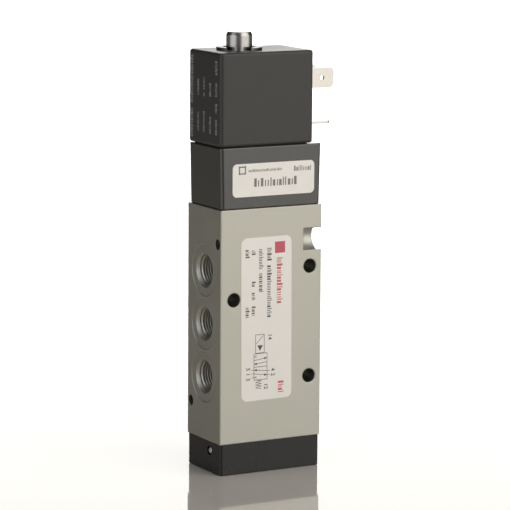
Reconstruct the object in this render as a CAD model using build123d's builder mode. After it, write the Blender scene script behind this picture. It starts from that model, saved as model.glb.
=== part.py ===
from build123d import *
from math import hypot
import os

# Five-port, two-position solenoid valve with an air pilot and a spring return.
#
# Frame: the origin is the centre of the base face, on the spool's axis.
# +Z runs up along the spool towards the coil, +Y to the back, +X to the face of ports 4 and 2.
# The label is on the front, at -Y. All sizes are in millimetres.

# ---------------------------------------------------------------- driving dimensions

# Stack of blocks, from the base up
width = 35.7
depth = 22.0
cap_height = 10.0
body_height = 73.7
pilot_height = 19.2
coil_gap = 0.2
coil_height = 29.0
core_stand_up = 5.65

body_bottom = cap_height
body_top = body_bottom + body_height
pilot_bottom = body_top
pilot_top = pilot_bottom + pilot_height
coil_bottom = pilot_top + coil_gap
coil_top = coil_bottom + coil_height
core_top = coil_top + core_stand_up

body_corner = 0.3
moulding_inset = 0.05
moulding_corner = 1.3

# Ports: G1/8, in a row that is symmetric about port 1
centre_z = body_bottom + body_height / 2
port_pitch = 8.42
port_z = {
    3: centre_z - 2 * port_pitch,
    2: centre_z - port_pitch,
    1: centre_z,
    4: centre_z + port_pitch,
    5: centre_z + 2 * port_pitch,
}
left_ports = (3, 1, 5)
right_ports = (2, 4)
port_radius = 9.728 / 2
port_depth = 8.0
passage_radius = 2.9
spotface_radius = 8.2
spotface_depth = 0.15
port_chamfer = 0.65

# Mounting holes, front to back
mount_hole_radius = 2.15
mount_hole_chamfer = 0.2
mount_pair_x = 13.75
mount_pair_spacing = 35.0
single_hole = (-13.2, 55.45)

# Side fixing holes, left to right, with head pockets that break through the nearer wide face
side_hole_radius = 1.65
side_hole_y = 8.8
side_hole_offset = 26.1
pocket_radius = 4.12
pocket_depth = 6.5

# Spool, its seals and the ported cages between them
bore_radius = 6.5
pack_radius = 6.45
spool_radius = 4.0
spool_neck_radius = 2.6
running_gap = 0.04
seal_width = 2.0
seal_corner = 0.6
pack_gap = 0.05
cage_length = port_pitch - seal_width - 3 * pack_gap
cage_inner_radius = 4.4
cage_waist_radius = 5.7
cage_waist_height = 4.2
cage_hole_radius = 1.3
guide_radius = 4.3
neck_length = 8.25
neck_offset = 2.5
neck_flank = 1.6
spool_edge = 0.3
spool_bottom = 19.0
piston_bottom = body_top - 3.8
piston_height = 3.7
piston_radius = 5.52
piston_groove_radius = 4.3
piston_groove_height = 1.4
piston_groove_offset = 1.2
sleeve_inner_radius = 5.6
sleeve_shoulder = body_top - 9.2

# Return spring and its seat
spring_floor = 2.4
spring_pocket_radius = 4.6
spring_end_gap = 0.05
spring_mean_radius = 3.4
spring_wire = 0.8
spring_coils = 6.5
seat_bottom = 17.6
seat_radius = 4.8
seat_nose_radius = 2.8
seat_nose_length = 1.5
seat_chamber_radius = 5.2
seat_chamber_top = 21.0
spigot_radius = 1.8

# Solenoid
core_x = -5.9
stud_radius = 4.07
tube_radius = 4.65
tube_bore = 4.2
tube_flange_radius = 6.5
tube_flange = 1.0
armature_radius = 4.12
armature_flange_radius = 4.8
armature_bottom = 93.8
armature_top = 119.2
armature_travel = 0.75
core_face = armature_top + armature_travel + 0.15
nozzle_tip = armature_bottom - 0.4
seal_lift = 0.02
plate_thickness = 1.5
plate_bottom = pilot_top - plate_thickness
tube_bottom = plate_bottom - tube_flange
chamber_radius = 5.2
chamber_floor = armature_bottom - 2.0
o_ring_seat = tube_bottom - 1.3

# Spring on the armature
armature_spring_mean_radius = 4.56
armature_spring_wire = 0.36
armature_spring_coils = 3.5

# Coil
coil_left = -17.95
coil_right = 14.75
coil_half_depth = 10.75
coil_corner = 1.3
coil_edge = 0.9
blade_width = 6.3
blade_thickness = 0.8
blade_nose = 1.1
blade_bevel = 0.2
blade_hole_radius = 0.75
blade_hole_back = 4.2
blade_tip = 24.75
blade_root = 8.8
blade_spacing = 11.0
blade_z = 122.8
earth_blade_z = 108.4
earth_blade_tip = 25.45
slot_gap = 0.03

# Screws: M3, socket heads in the end cap and countersunk heads in the clamp plate
screw_radius = 1.5
screw_clearance = 1.6
tapped_radius = 1.55
cap_tapped_depth = 9.0
pilot_tapped_depth = 7.8
cap_head_radius = 2.75
cap_head_height = 3.0
cap_head_pocket_radius = 3.0
cap_head_pocket_depth = 3.6
cap_screw_length = 14.4
cap_socket_flats = 2.5
cap_socket_depth = 1.6
pilot_head_radius = 2.8
pilot_head_height = 1.3
pilot_head_sunk = 0.1
pilot_screw_reach = 7.3
cross_slot = (3.0, 0.6)
cross_slot_depth = 0.9
pilot_screw_points = ((-13.0, -5.7), (13.0, 5.7))
cap_screw_points = ((-12.8, 0), (12.8, 0))

# Air gallery from port 1 to the pilot valve
gallery_radius = 0.7
cross_radius = 0.6
gallery_point = (7.5, 7.5)

# Face gaskets round the bore, and the small one round the gallery
gasket_outer_radius = 8.2
gasket_inner_radius = 7.0
gasket_height = 0.8
gasket_play = 0.1
gallery_gasket_outer_radius = 1.9
gallery_gasket_inner_radius = 1.1

os.makedirs("parts", exist_ok=True)


def circles(part, radius, where):
    """Circular edges of one radius whose centre passes a test."""
    found = part.edges().filter_by(GeomType.CIRCLE)
    found = found.filter_by(lambda edge: abs(edge.radius - radius) < 1e-4)
    return found.filter_by(lambda edge: where(edge.arc_center))


def face_plane(z, side):
    """Plane on a narrow face of the body at one level: side -1 is the left face, +1 the right."""
    return Plane(origin=(side * width / 2, 0, z), z_dir=(side, 0, 0))


# ---------------------------------------------------------------- valve body

with BuildPart() as valve_body:
    with BuildSketch(Plane.XY.offset(body_bottom)):
        RectangleRounded(width, depth, body_corner)
    extrude(amount=body_height)

    # Spool bore, open at both ends
    with Locations((0, 0, body_top)):
        Hole(bore_radius)

    # Ports: spotface, threaded socket and a narrower passage into the bore
    for numbers, side in ((left_ports, -1), (right_ports, 1)):
        for number in numbers:
            with Locations(face_plane(port_z[number], side)):
                Hole(spotface_radius, spotface_depth)
                CounterBoreHole(passage_radius, port_radius, spotface_depth + port_depth, width / 2)
    mouth_x = width / 2 - spotface_depth
    port_mouths = circles(valve_body, port_radius, lambda c: abs(abs(c.X) - mouth_x) < 0.01)
    chamfer(port_mouths, port_chamfer)

    # Three clearance holes from front to back
    mount_points = (
        (mount_pair_x, centre_z - mount_pair_spacing / 2),
        (mount_pair_x, centre_z + mount_pair_spacing / 2),
        single_hole,
    )
    for x, z in mount_points:
        with Locations(Plane(origin=(x, -depth / 2, z), z_dir=(0, -1, 0))):
            Hole(mount_hole_radius)
    mount_mouths = circles(valve_body, mount_hole_radius, lambda c: abs(abs(c.Y) - depth / 2) < 0.01)
    chamfer(mount_mouths, mount_hole_chamfer)

    # Two side fixing holes, with pockets for the screw heads in the right face
    for sign in (-1, 1):
        place = (width / 2, sign * side_hole_y, centre_z - sign * side_hole_offset)
        with Locations(Plane(origin=place, z_dir=(1, 0, 0))):
            CounterBoreHole(side_hole_radius, pocket_radius, pocket_depth)

    # Tapped holes for the pilot block's and the end cap's screws
    with Locations(*[(x, y, body_top) for x, y in pilot_screw_points]):
        Hole(tapped_radius, pilot_tapped_depth)
    with Locations(*[Plane(origin=(x, y, body_bottom), z_dir=(0, 0, -1)) for x, y in cap_screw_points]):
        Hole(tapped_radius, cap_tapped_depth)

    # Air gallery: down from the top face, then across into the port 1 chamber
    with Locations((gallery_point[0], gallery_point[1], body_top)):
        Hole(gallery_radius, body_top - centre_z + gallery_radius)
    with BuildSketch(Plane(origin=(0, 0, centre_z), z_dir=(gallery_point[0], gallery_point[1], 0))):
        Circle(cross_radius)
    extrude(amount=hypot(*gallery_point), mode=Mode.SUBTRACT)
valve_body.part.label = "valve_body"
export_step(valve_body.part, "parts/valve_body.step")


# ---------------------------------------------------------------- end cap

cap_width = width - 2 * moulding_inset
cap_depth = depth - 2 * moulding_inset
cap_foot_chamfer = 0.25
vent_y = -3.85
vent_z = 6.95
vent_mouth_radius = 1.5
vent_mouth_depth = 0.7
vent_radius = 1.05
vent_depth = 3.0
vent_passage_radius = 0.5
vent_plug_length = 2.8
vent_plug_dome = 0.45

with BuildPart() as end_cap:
    with BuildSketch():
        RectangleRounded(cap_width, cap_depth, moulding_corner)
    extrude(amount=cap_height)
    chamfer(end_cap.faces().sort_by(Axis.Z)[0].edges(), cap_foot_chamfer)

    # Spring pocket and the groove for the gasket round it
    with Locations((0, 0, cap_height)):
        Hole(spring_pocket_radius, cap_height - spring_floor)
    with BuildSketch(Plane.XY.offset(cap_height)):
        Circle(gasket_outer_radius + gasket_play)
        Circle(gasket_inner_radius - gasket_play, mode=Mode.SUBTRACT)
    extrude(amount=-gasket_height, mode=Mode.SUBTRACT)

    # Counterbored screw holes, heads below the base face
    with Locations(*[Plane(origin=(x, y, 0), z_dir=(0, 0, -1)) for x, y in cap_screw_points]):
        CounterBoreHole(screw_clearance, cap_head_pocket_radius, cap_head_pocket_depth)

    # Breather on the left face
    with Locations(Plane(origin=(-cap_width / 2, vent_y, vent_z), z_dir=(-1, 0, 0))):
        Hole(vent_mouth_radius, vent_mouth_depth)
        Hole(vent_radius, vent_depth)
        Hole(vent_passage_radius, cap_width / 2 - 2.5)
end_cap.part.label = "end_cap"
export_step(end_cap.part, "parts/end_cap.step")

with BuildPart() as end_cap_gasket:
    with BuildSketch(Plane.XY.offset(cap_height - gasket_height)):
        Circle(gasket_outer_radius)
        Circle(gasket_inner_radius, mode=Mode.SUBTRACT)
    extrude(amount=gasket_height)
end_cap_gasket.part.label = "end_cap_gasket"
export_step(end_cap_gasket.part, "parts/end_cap_gasket.step")

with BuildPart() as vent_plug:
    with BuildSketch(Plane(origin=(-cap_width / 2 + vent_depth, vent_y, vent_z), z_dir=(-1, 0, 0))):
        Circle(vent_radius - 0.02)
    extrude(amount=vent_plug_length)
    fillet(vent_plug.faces().sort_by(Axis.X)[0].edges(), vent_plug_dome)
vent_plug.part.label = "vent_plug"
export_step(vent_plug.part, "parts/vent_plug.step")

head_face = cap_head_pocket_depth - cap_head_height
with BuildPart() as end_cap_screws:
    with BuildSketch(Plane.XY.offset(head_face)):
        with Locations(*cap_screw_points):
            Circle(cap_head_radius)
    extrude(amount=cap_head_height)
    with BuildSketch(Plane.XY.offset(cap_head_pocket_depth)):
        with Locations(*cap_screw_points):
            Circle(screw_radius)
    extrude(amount=cap_screw_length)
    with BuildSketch(Plane.XY.offset(head_face)):
        with Locations(*cap_screw_points):
            RegularPolygon(cap_socket_flats / 2, 6, major_radius=False)
    extrude(amount=cap_socket_depth, mode=Mode.SUBTRACT)
end_cap_screws.part.label = "end_cap_screws"
export_step(end_cap_screws.part, "parts/end_cap_screws.step")


# ---------------------------------------------------------------- seal pack in the bore

def make_cage(number):
    """Ported ring that holds two seals apart and lets air from its port reach the spool."""
    with BuildPart() as cage:
        with BuildSketch(Plane.XY.offset(port_z[number] - cage_length / 2)):
            Circle(pack_radius)
            Circle(cage_inner_radius, mode=Mode.SUBTRACT)
        extrude(amount=cage_length)
        with BuildSketch(Plane.XY.offset(port_z[number] - cage_waist_height / 2)):
            Circle(pack_radius + 1)
            Circle(cage_waist_radius, mode=Mode.SUBTRACT)
        extrude(amount=cage_waist_height, mode=Mode.SUBTRACT)
        with Locations((0, 0, port_z[number])):
            for turn in range(4):
                across = (90, 0, 45 * turn)
                Cylinder(cage_hole_radius, 2 * pack_radius, rotation=across, mode=Mode.SUBTRACT)
    return cage


for number in sorted(port_z):
    cage = make_cage(number)
    cage.part.label = f"port_{number}_cage"
    export_step(cage.part, f"parts/port_{number}_cage.step")

seal_levels = [centre_z + (step - 2.5) * port_pitch for step in range(6)]

for index, level in enumerate(seal_levels, start=1):
    with BuildPart() as spool_seal:
        with BuildSketch(Plane.XZ):
            with Locations(((spool_radius + running_gap + pack_radius) / 2, level)):
                RectangleRounded(pack_radius - spool_radius - running_gap, seal_width, seal_corner)
        revolve(axis=Axis.Z)
    spool_seal.part.label = f"spool_seal_{index}"
    export_step(spool_seal.part, f"parts/spool_seal_{index}.step")

with BuildPart() as lower_end_bush:
    with BuildSketch(Plane.XY.offset(body_bottom + 2 * pack_gap)):
        Circle(pack_radius)
        Circle(guide_radius, mode=Mode.SUBTRACT)
    extrude(amount=seal_levels[0] - seal_width / 2 - body_bottom - 3 * pack_gap)
    with Locations((0, 0, seat_chamber_top)):
        Hole(seat_chamber_radius, seat_chamber_top - body_bottom)
lower_end_bush.part.label = "lower_end_bush"
export_step(lower_end_bush.part, "parts/lower_end_bush.step")

sleeve_bottom = seal_levels[-1] + seal_width / 2 + pack_gap
with BuildPart() as piston_sleeve:
    with BuildSketch(Plane.XY.offset(sleeve_bottom)):
        Circle(pack_radius)
        Circle(guide_radius, mode=Mode.SUBTRACT)
    extrude(amount=body_top - 2 * pack_gap - sleeve_bottom)
    with Locations((0, 0, body_top)):
        Hole(sleeve_inner_radius, body_top - sleeve_shoulder)
piston_sleeve.part.label = "piston_sleeve"
export_step(piston_sleeve.part, "parts/piston_sleeve.step")


# ---------------------------------------------------------------- spool, piston and return spring

with BuildPart() as spool:
    with BuildSketch(Plane.XY.offset(spool_bottom)):
        Circle(spool_radius)
    extrude(amount=piston_bottom - spool_bottom)
    chamfer(spool.edges().filter_by(GeomType.CIRCLE), spool_edge)
    # Spigot for the spring seat
    with BuildSketch(Plane.XY.offset(seat_bottom)):
        Circle(spigot_radius)
    extrude(amount=spool_bottom - seat_bottom)
    # Two necks, each joining a pair of ports; the upper one a port row higher
    for row in (0, 2):
        middle = seal_levels[2] - neck_offset + row * port_pitch
        low = middle - neck_length / 2
        high = middle + neck_length / 2
        with BuildSketch(Plane.XZ):
            with BuildLine():
                FilletPolyline(
                    (spool_radius + 1, low - 0.6),
                    (spool_neck_radius, low - 0.6 + neck_flank),
                    (spool_neck_radius, high + 0.6 - neck_flank),
                    (spool_radius + 1, high + 0.6),
                    radius=0.5,
                )
                Line((spool_radius + 1, high + 0.6), (spool_radius + 1, low - 0.6))
            make_face()
        revolve(axis=Axis.Z, mode=Mode.SUBTRACT)
spool.part.label = "spool"
export_step(spool.part, "parts/spool.step")

with BuildPart() as pilot_piston:
    with BuildSketch(Plane.XY.offset(piston_bottom)):
        Circle(piston_radius)
    extrude(amount=piston_height)
    chamfer(pilot_piston.edges().filter_by(GeomType.CIRCLE), spool_edge)
    with BuildSketch(Plane.XY.offset(piston_bottom + piston_groove_offset)):
        Circle(piston_radius + 1)
        Circle(piston_groove_radius, mode=Mode.SUBTRACT)
    extrude(amount=piston_groove_height, mode=Mode.SUBTRACT)
pilot_piston.part.label = "pilot_piston"
export_step(pilot_piston.part, "parts/pilot_piston.step")

piston_seal_inner = piston_groove_radius + 0.02
piston_seal_outer = sleeve_inner_radius - running_gap
piston_seal_z = piston_bottom + piston_groove_offset + piston_groove_height / 2
with BuildPart() as piston_seal:
    with BuildSketch(Plane.XZ):
        with Locations(((piston_seal_inner + piston_seal_outer) / 2, piston_seal_z)):
            RectangleRounded(piston_seal_outer - piston_seal_inner, piston_groove_height - 0.1, 0.5)
    revolve(axis=Axis.Z)
piston_seal.part.label = "piston_seal"
export_step(piston_seal.part, "parts/piston_seal.step")

with BuildPart() as spring_seat:
    with BuildSketch(Plane.XY.offset(seat_bottom)):
        Circle(seat_radius)
    extrude(amount=spool_bottom - seat_bottom)
    with BuildSketch(Plane.XY.offset(seat_bottom - seat_nose_length)):
        Circle(seat_nose_radius)
    extrude(amount=seat_nose_length)
    with Locations((0, 0, spool_bottom)):
        Hole(spigot_radius + 0.05)
spring_seat.part.label = "spring_seat"
export_step(spring_seat.part, "parts/spring_seat.step")


def make_spring(mean_radius, wire, coils, bottom, top, centre_x):
    """Compression spring of evenly spaced coils, just clear of the two levels it works between."""
    low = bottom + spring_end_gap
    rise = top - low - spring_end_gap - wire
    with BuildPart() as spring:
        with BuildLine(Plane(origin=(centre_x, 0, low + wire / 2))) as path:
            Helix(pitch=rise / coils, height=rise, radius=mean_radius)
        with BuildSketch(Plane(origin=path.line @ 0, z_dir=path.line % 0)):
            Circle(wire / 2)
        sweep(is_frenet=True)
    return spring


return_spring = make_spring(spring_mean_radius, spring_wire, spring_coils, spring_floor, seat_bottom, 0)
return_spring.part.label = "return_spring"
export_step(return_spring.part, "parts/return_spring.step")


# ---------------------------------------------------------------- pilot block

pilot_bottom_half = 17.38
pilot_top_half = 17.8
pilot_half_depth = 10.75
pilot_bottom_edge = 0.5
pilot_top_edge = 0.4
outlet_point = (-2.9, -3.2)
cam_z = armature_bottom - 1.6
cam_bore = 2.08
cam_tip_bore = 1.55
cam_head_bore = 3.1
cam_head_depth = 2.4
cam_tip_reach = 2.6
nozzle_bottom = chamber_floor - 2.4
nozzle_radius = 2.2
nozzle_cone_radius = 1.9
nozzle_taper = 25
nozzle_bore = 0.5
supply_z = chamber_floor - 5.0
pin_point = (9.15, 2.05)
pin_radius = 0.69
pin_bottom = cam_z - 2.4
recess_size = (32.5, 17.8)
recess_corner = 2.0

with BuildPart() as pilot_block:
    with BuildSketch(Plane.XZ):
        Polygon(
            (-pilot_bottom_half, pilot_bottom),
            (pilot_bottom_half, pilot_bottom),
            (pilot_top_half, pilot_top),
            (-pilot_top_half, pilot_top),
            align=None,
        )
    extrude(amount=pilot_half_depth, both=True)
    upright = pilot_block.edges().filter_by(lambda edge: pilot_height <= edge.length < pilot_height + 0.1)
    fillet(upright, moulding_corner)
    fillet(pilot_block.faces().sort_by(Axis.Z)[0].edges(), pilot_bottom_edge)
    fillet(pilot_block.faces().sort_by(Axis.Z)[-1].edges(), pilot_top_edge)

    # Recess for the clamp plate, seat for the tube's flange and O-ring, armature chamber
    with BuildSketch(Plane.XY.offset(pilot_top)):
        RectangleRounded(*recess_size, recess_corner)
    extrude(amount=-plate_thickness, mode=Mode.SUBTRACT)
    with Locations((core_x, 0, plate_bottom)):
        Hole(tube_flange_radius + 0.2, plate_bottom - o_ring_seat)
        Hole(chamber_radius, plate_bottom - chamber_floor)
        Hole(nozzle_radius, plate_bottom - nozzle_bottom)
        Hole(gallery_radius, plate_bottom - supply_z + gallery_radius)

    # Supply passage up from the body and across to the nozzle; outlet down to the piston
    with Locations(Plane(origin=(*gallery_point, pilot_bottom), z_dir=(0, 0, -1))):
        Hole(gallery_radius, supply_z - pilot_bottom + gallery_radius)
    run = (core_x - gallery_point[0], -gallery_point[1], 0)
    with BuildSketch(Plane(origin=(*gallery_point, supply_z), z_dir=run)):
        Circle(cross_radius)
    extrude(amount=hypot(*run), mode=Mode.SUBTRACT)
    with Locations(Plane(origin=(*outlet_point, pilot_bottom), z_dir=(0, 0, -1))):
        Hole(gallery_radius, chamber_floor - pilot_bottom + 0.5)

    # Bore for the manual override, from the right face into the armature chamber
    with Locations(Plane(origin=(pilot_top_half, 0, cam_z), z_dir=(1, 0, 0))):
        Hole(cam_head_bore, cam_head_depth)
        Hole(cam_bore, pilot_top_half)
        Hole(cam_tip_bore, pilot_top_half + cam_tip_reach)
    with Locations((*pin_point, plate_bottom)):
        Hole(pin_radius + 0.03, plate_bottom - pin_bottom + 0.1)

    # Screw holes and the gasket groove in the underside
    with Locations(*[(x, y, plate_bottom) for x, y in pilot_screw_points]):
        Hole(screw_clearance)
    with BuildSketch(Plane.XY.offset(pilot_bottom)):
        Circle(gasket_outer_radius + gasket_play)
        Circle(gasket_inner_radius - gasket_play, mode=Mode.SUBTRACT)
        with Locations(gallery_point):
            Circle(gallery_gasket_outer_radius + gasket_play)
            Circle(gallery_gasket_inner_radius - gasket_play, mode=Mode.SUBTRACT)
    extrude(amount=gasket_height, mode=Mode.SUBTRACT)
pilot_block.part.label = "pilot_block"
export_step(pilot_block.part, "parts/pilot_block.step")

with BuildPart() as pilot_gaskets:
    with BuildSketch(Plane.XY.offset(pilot_bottom)):
        Circle(gasket_outer_radius)
        Circle(gasket_inner_radius, mode=Mode.SUBTRACT)
        with Locations(gallery_point):
            Circle(gallery_gasket_outer_radius)
            Circle(gallery_gasket_inner_radius, mode=Mode.SUBTRACT)
    extrude(amount=gasket_height - 0.02)
pilot_gaskets.part.label = "pilot_gaskets"
export_step(pilot_gaskets.part, "parts/pilot_gaskets.step")

with BuildPart() as pilot_nozzle:
    with BuildSketch(Plane.XY.offset(nozzle_bottom + 0.02)):
        with Locations((core_x, 0)):
            Circle(nozzle_radius - 0.03)
    extrude(amount=chamber_floor - nozzle_bottom)
    with BuildSketch(Plane.XY.offset(chamber_floor)):
        with Locations((core_x, 0)):
            Circle(nozzle_cone_radius)
    extrude(amount=nozzle_tip - chamber_floor, taper=nozzle_taper)
    with Locations((core_x, 0, nozzle_tip)):
        Hole(nozzle_bore)
pilot_nozzle.part.label = "pilot_nozzle"
export_step(pilot_nozzle.part, "parts/pilot_nozzle.step")

with BuildPart() as clamp_plate:
    with BuildSketch(Plane.XY.offset(plate_bottom)):
        RectangleRounded(recess_size[0] - 0.2, recess_size[1] - 0.2, recess_corner - 0.1)
        with Locations((core_x, 0)):
            Circle(tube_radius + 0.1, mode=Mode.SUBTRACT)
    extrude(amount=plate_thickness)
    with Locations(*[(x, y, pilot_top) for x, y in pilot_screw_points]):
        CounterSinkHole(screw_clearance, 3.0)
clamp_plate.part.label = "clamp_plate"
export_step(clamp_plate.part, "parts/clamp_plate.step")

screw_tip = body_top - pilot_screw_reach
head_top = pilot_top - pilot_head_sunk
with BuildPart() as pilot_screws:
    with BuildSketch(Plane.XY.offset(screw_tip)):
        with Locations(*pilot_screw_points):
            Circle(screw_radius)
    extrude(amount=head_top - screw_tip)
    with BuildSketch(Plane.XY.offset(head_top)):
        with Locations(*pilot_screw_points):
            Circle(pilot_head_radius)
    extrude(amount=-pilot_head_height, taper=45)
    with BuildSketch(Plane.XY.offset(head_top)):
        with Locations(*pilot_screw_points):
            Rectangle(*cross_slot)
            Rectangle(*reversed(cross_slot))
    extrude(amount=-cross_slot_depth, mode=Mode.SUBTRACT)
pilot_screws.part.label = "pilot_screws"
export_step(pilot_screws.part, "parts/pilot_screws.step")


# ---------------------------------------------------------------- manual override

cam_radius = 2.0
cam_tip_radius = 1.4
cam_head_radius = 2.9
cam_head_chamfer = 0.2
cam_inner_x = -2.2
cam_step_x = 1.8
cam_head_x = 15.55
cam_outer_x = 17.15
tip_flat = 0.4
driver_slot_width = 0.9
driver_slot_depth = 1.0

# Grooves for the O-ring and for the retaining pin: outer end and width
cam_groove_radius = 1.3
o_ring_groove = (12.4, 1.4)
pin_groove = (8.3, 1.7)

with BuildPart() as override_cam:
    with BuildSketch(Plane(origin=(cam_step_x, 0, cam_z), z_dir=(1, 0, 0))):
        Circle(cam_radius)
    extrude(amount=cam_head_x - cam_step_x)
    with BuildSketch(Plane(origin=(cam_head_x, 0, cam_z), z_dir=(1, 0, 0))):
        Circle(cam_head_radius)
    extrude(amount=cam_outer_x - cam_head_x)
    chamfer(override_cam.faces().sort_by(Axis.X)[-1].edges(), cam_head_chamfer)
    # Tip with a flat, which faces up at rest
    with BuildSketch(Plane(origin=(cam_inner_x, 0, cam_z), z_dir=(1, 0, 0))):
        Circle(cam_tip_radius)
    extrude(amount=cam_step_x - cam_inner_x)
    with Locations(((cam_inner_x + cam_step_x) / 2, 0, cam_z + tip_flat + 1)):
        Box(cam_step_x - cam_inner_x, 4, 2, mode=Mode.SUBTRACT)
    for groove_x, groove_width in (o_ring_groove, pin_groove):
        with BuildSketch(Plane(origin=(groove_x, 0, cam_z), z_dir=(1, 0, 0))):
            Circle(cam_radius + 0.5)
            Circle(cam_groove_radius, mode=Mode.SUBTRACT)
        extrude(amount=groove_width, mode=Mode.SUBTRACT)
    # Screwdriver slot
    with Locations((cam_outer_x, 0, cam_z)):
        Box(2 * driver_slot_depth, 2.1 * cam_head_radius, driver_slot_width, mode=Mode.SUBTRACT)
override_cam.part.label = "override_cam"
export_step(override_cam.part, "parts/override_cam.step")

o_ring_outer = cam_bore - running_gap
with BuildPart() as override_o_ring:
    with BuildSketch(Plane.XY.offset(cam_z)):
        with Locations((o_ring_groove[0] + o_ring_groove[1] / 2, (cam_groove_radius + o_ring_outer) / 2)):
            RectangleRounded(o_ring_groove[1] - 0.3, o_ring_outer - cam_groove_radius, 0.3)
    revolve(axis=Axis((0, 0, cam_z), (1, 0, 0)))
override_o_ring.part.label = "override_o_ring"
export_step(override_o_ring.part, "parts/override_o_ring.step")

with BuildPart() as override_pin:
    with BuildSketch(Plane.XY.offset(pin_bottom)):
        with Locations(pin_point):
            Circle(pin_radius)
    extrude(amount=plate_bottom - 0.1 - pin_bottom)
override_pin.part.label = "override_pin"
export_step(override_pin.part, "parts/override_pin.step")


# ---------------------------------------------------------------- core tube, fixed core, armature

weld_z = coil_top - 0.5
core_nose = (1.1, 0.5)
core_nose_fillet = 0.3
core_boss_radius = 1.4
core_centre_radius = 0.6
clip_groove_height = 1.0
clip_groove_radius = 3.5
tube_o_ring_radius = 5.85
tube_o_ring_width = 1.4
armature_flange = 1.0
armature_chamfer = 0.3
upper_seal_radius = 1.7
lower_seal_radius = 2.2
seal_pocket_depth = 1.6
seal_play = 0.03
air_groove = 1.2
air_groove_bottom = armature_bottom + armature_flange

with BuildPart() as core_tube:
    with BuildSketch(Plane.XY.offset(tube_bottom)):
        with Locations((core_x, 0)):
            Circle(tube_flange_radius)
    extrude(amount=tube_flange)
    with BuildSketch(Plane.XY.offset(plate_bottom)):
        with Locations((core_x, 0)):
            Circle(tube_radius)
    extrude(amount=weld_z - plate_bottom)
    with Locations((core_x, 0, coil_top)):
        Hole(tube_bore)
core_tube.part.label = "core_tube"
export_step(core_tube.part, "parts/core_tube.step")

with BuildPart() as fixed_core:
    with BuildSketch(Plane.XY.offset(weld_z)):
        with Locations((core_x, 0)):
            Circle(tube_radius)
    extrude(amount=coil_top - weld_z)
    with BuildSketch(Plane.XY.offset(coil_top)):
        with Locations((core_x, 0)):
            Circle(stud_radius)
    extrude(amount=core_top - coil_top)
    end_face = fixed_core.faces().sort_by(Axis.Z)[-1]
    chamfer(end_face.edges(), core_nose[1], core_nose[0], reference=end_face)
    nose_edges = fixed_core.edges().filter_by(GeomType.CIRCLE).filter_by(lambda edge: edge.arc_center.Z > core_top - 2)
    fillet(nose_edges, core_nose_fillet)
    with BuildSketch(Plane.XY.offset(core_face)):
        with Locations((core_x, 0)):
            Circle(tube_bore - 0.03)
    extrude(amount=weld_z - core_face)
    with BuildSketch(Plane.XY.offset(core_face)):
        with Locations((core_x, 0)):
            Circle(core_boss_radius)
    extrude(amount=-0.1)
    with BuildSketch(Plane.XY.offset(coil_top)):
        with Locations((core_x, 0)):
            Circle(stud_radius + 1)
            Circle(clip_groove_radius, mode=Mode.SUBTRACT)
    extrude(amount=clip_groove_height, mode=Mode.SUBTRACT)
    with Locations((core_x, 0, core_top)):
        Hole(core_centre_radius)
fixed_core.part.label = "fixed_core"
export_step(fixed_core.part, "parts/fixed_core.step")

with BuildPart() as tube_o_ring:
    with BuildSketch(Plane.XZ):
        with Locations((core_x + tube_o_ring_radius, (o_ring_seat + tube_bottom) / 2)):
            RectangleRounded(tube_o_ring_width, tube_bottom - o_ring_seat, 0.5)
    revolve(axis=Axis((core_x, 0, 0), (0, 0, 1)))
tube_o_ring.part.label = "tube_o_ring"
export_step(tube_o_ring.part, "parts/tube_o_ring.step")

with BuildPart() as armature:
    with BuildSketch(Plane.XY.offset(armature_bottom)):
        with Locations((core_x, 0)):
            Circle(armature_flange_radius)
    extrude(amount=armature_flange)
    with BuildSketch(Plane.XY.offset(armature_bottom)):
        with Locations((core_x, 0)):
            Circle(armature_radius)
    extrude(amount=armature_top - armature_bottom)
    chamfer(armature.faces().sort_by(Axis.Z)[-1].edges(), armature_chamfer)
    # Seal pockets at both ends, and two grooves that let air past
    with Locations((core_x, 0, armature_top)):
        Hole(upper_seal_radius, seal_pocket_depth)
    with Locations(Plane(origin=(core_x, 0, armature_bottom), z_dir=(0, 0, -1))):
        Hole(lower_seal_radius, seal_pocket_depth)
    with BuildSketch(Plane.XY.offset(air_groove_bottom)):
        with Locations((core_x, armature_radius), (core_x, -armature_radius)):
            Rectangle(air_groove, air_groove)
    extrude(amount=armature_top - air_groove_bottom, mode=Mode.SUBTRACT)
armature.part.label = "armature"
export_step(armature.part, "parts/armature.step")

with BuildPart() as armature_lower_seal:
    with BuildSketch(Plane.XY.offset(nozzle_tip + seal_lift)):
        with Locations((core_x, 0)):
            Circle(lower_seal_radius - seal_play)
    extrude(amount=armature_bottom + seal_pocket_depth - 0.02 - nozzle_tip - seal_lift)
armature_lower_seal.part.label = "armature_lower_seal"
export_step(armature_lower_seal.part, "parts/armature_lower_seal.step")

with BuildPart() as armature_upper_seal:
    with BuildSketch(Plane.XY.offset(armature_top - seal_pocket_depth + 0.02)):
        with Locations((core_x, 0)):
            Circle(upper_seal_radius - seal_play)
    extrude(amount=seal_pocket_depth)
armature_upper_seal.part.label = "armature_upper_seal"
export_step(armature_upper_seal.part, "parts/armature_upper_seal.step")

armature_spring = make_spring(
    armature_spring_mean_radius,
    armature_spring_wire,
    armature_spring_coils,
    armature_bottom + armature_flange,
    tube_bottom,
    core_x,
)
armature_spring.part.label = "armature_spring"
export_step(armature_spring.part, "parts/armature_spring.step")


# ---------------------------------------------------------------- coil

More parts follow.
